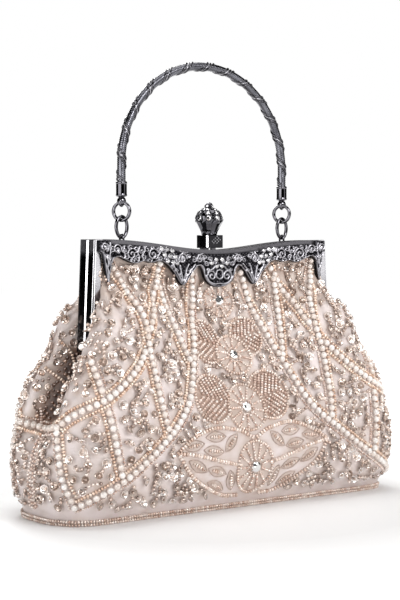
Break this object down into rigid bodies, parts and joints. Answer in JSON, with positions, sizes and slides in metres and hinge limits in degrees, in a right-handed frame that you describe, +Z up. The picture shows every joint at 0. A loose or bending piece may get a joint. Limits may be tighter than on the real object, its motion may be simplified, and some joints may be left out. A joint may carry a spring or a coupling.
{
  "type": "evening clutch",
  "caption": "Beaded cloth evening clutch on a hinged metal frame, with a lever clasp under a bud-shaped knob and a short rope handle on chain links.",
  "frame": {"origin": "middle of the base, on the table", "axes": "+Z up, +X along the length of the bag, the front faces -Y"},
  "size_m": [0.2442, 0.0926, 0.2582],
  "materials": {
    "satin": "ivory pink satin",
    "pearl": "cream pearl lustre",
    "seed_bead": "rose gold lined seed beads",
    "crystal": "cut clear stone",
    "gunmetal": "polished black nickel",
    "antique_metal": "antiqued cast relief"
  },
  "bodies": {
    "bag": {"front_panel": "satin", "back_panel": "satin", "base_panel": "satin", "base_trim": "seed_bead", "pearl_bands_front_left": "pearl", "pearl_bands_front_right": "pearl", "pearl_bands_back_left": "pearl", "pearl_bands_back_right": "pearl", "crystal_front_1": "crystal", "crystal_front_2": "crystal", "crystal_front_3": "crystal", "crystal_front_4": "crystal", "crystal_back_1": "crystal", "crystal_back_2": "crystal", "crystal_back_3": "crystal", "crystal_back_4": "crystal", "frame_front": "gunmetal", "frame_back": "gunmetal", "hinge_rivet_left": "gunmetal", "hinge_rivet_right": "gunmetal", "ornament_front": "antique_metal", "ornament_back": "antique_metal", "clasp_pin": "gunmetal", "handle_rope": "antique_metal", "ferrule_left": "gunmetal", "ferrule_right": "gunmetal", "link_upper_left": "gunmetal", "link_upper_right": "gunmetal", "link_lower_left": "gunmetal", "link_lower_right": "gunmetal", "handle_loop_left": "gunmetal", "handle_loop_right": "gunmetal"},
    "clasp": {"clasp_block": "gunmetal", "clasp_knob": "antique_metal"}
  },
  "joints": [
    {"name": "clasp_tilt", "type": "hinge", "parent": "bag", "child": "clasp", "pos_m": [0, 0.0046, 0.1501], "axis": [-1, 0, 0], "range_deg": [0, 30]}
  ]
}
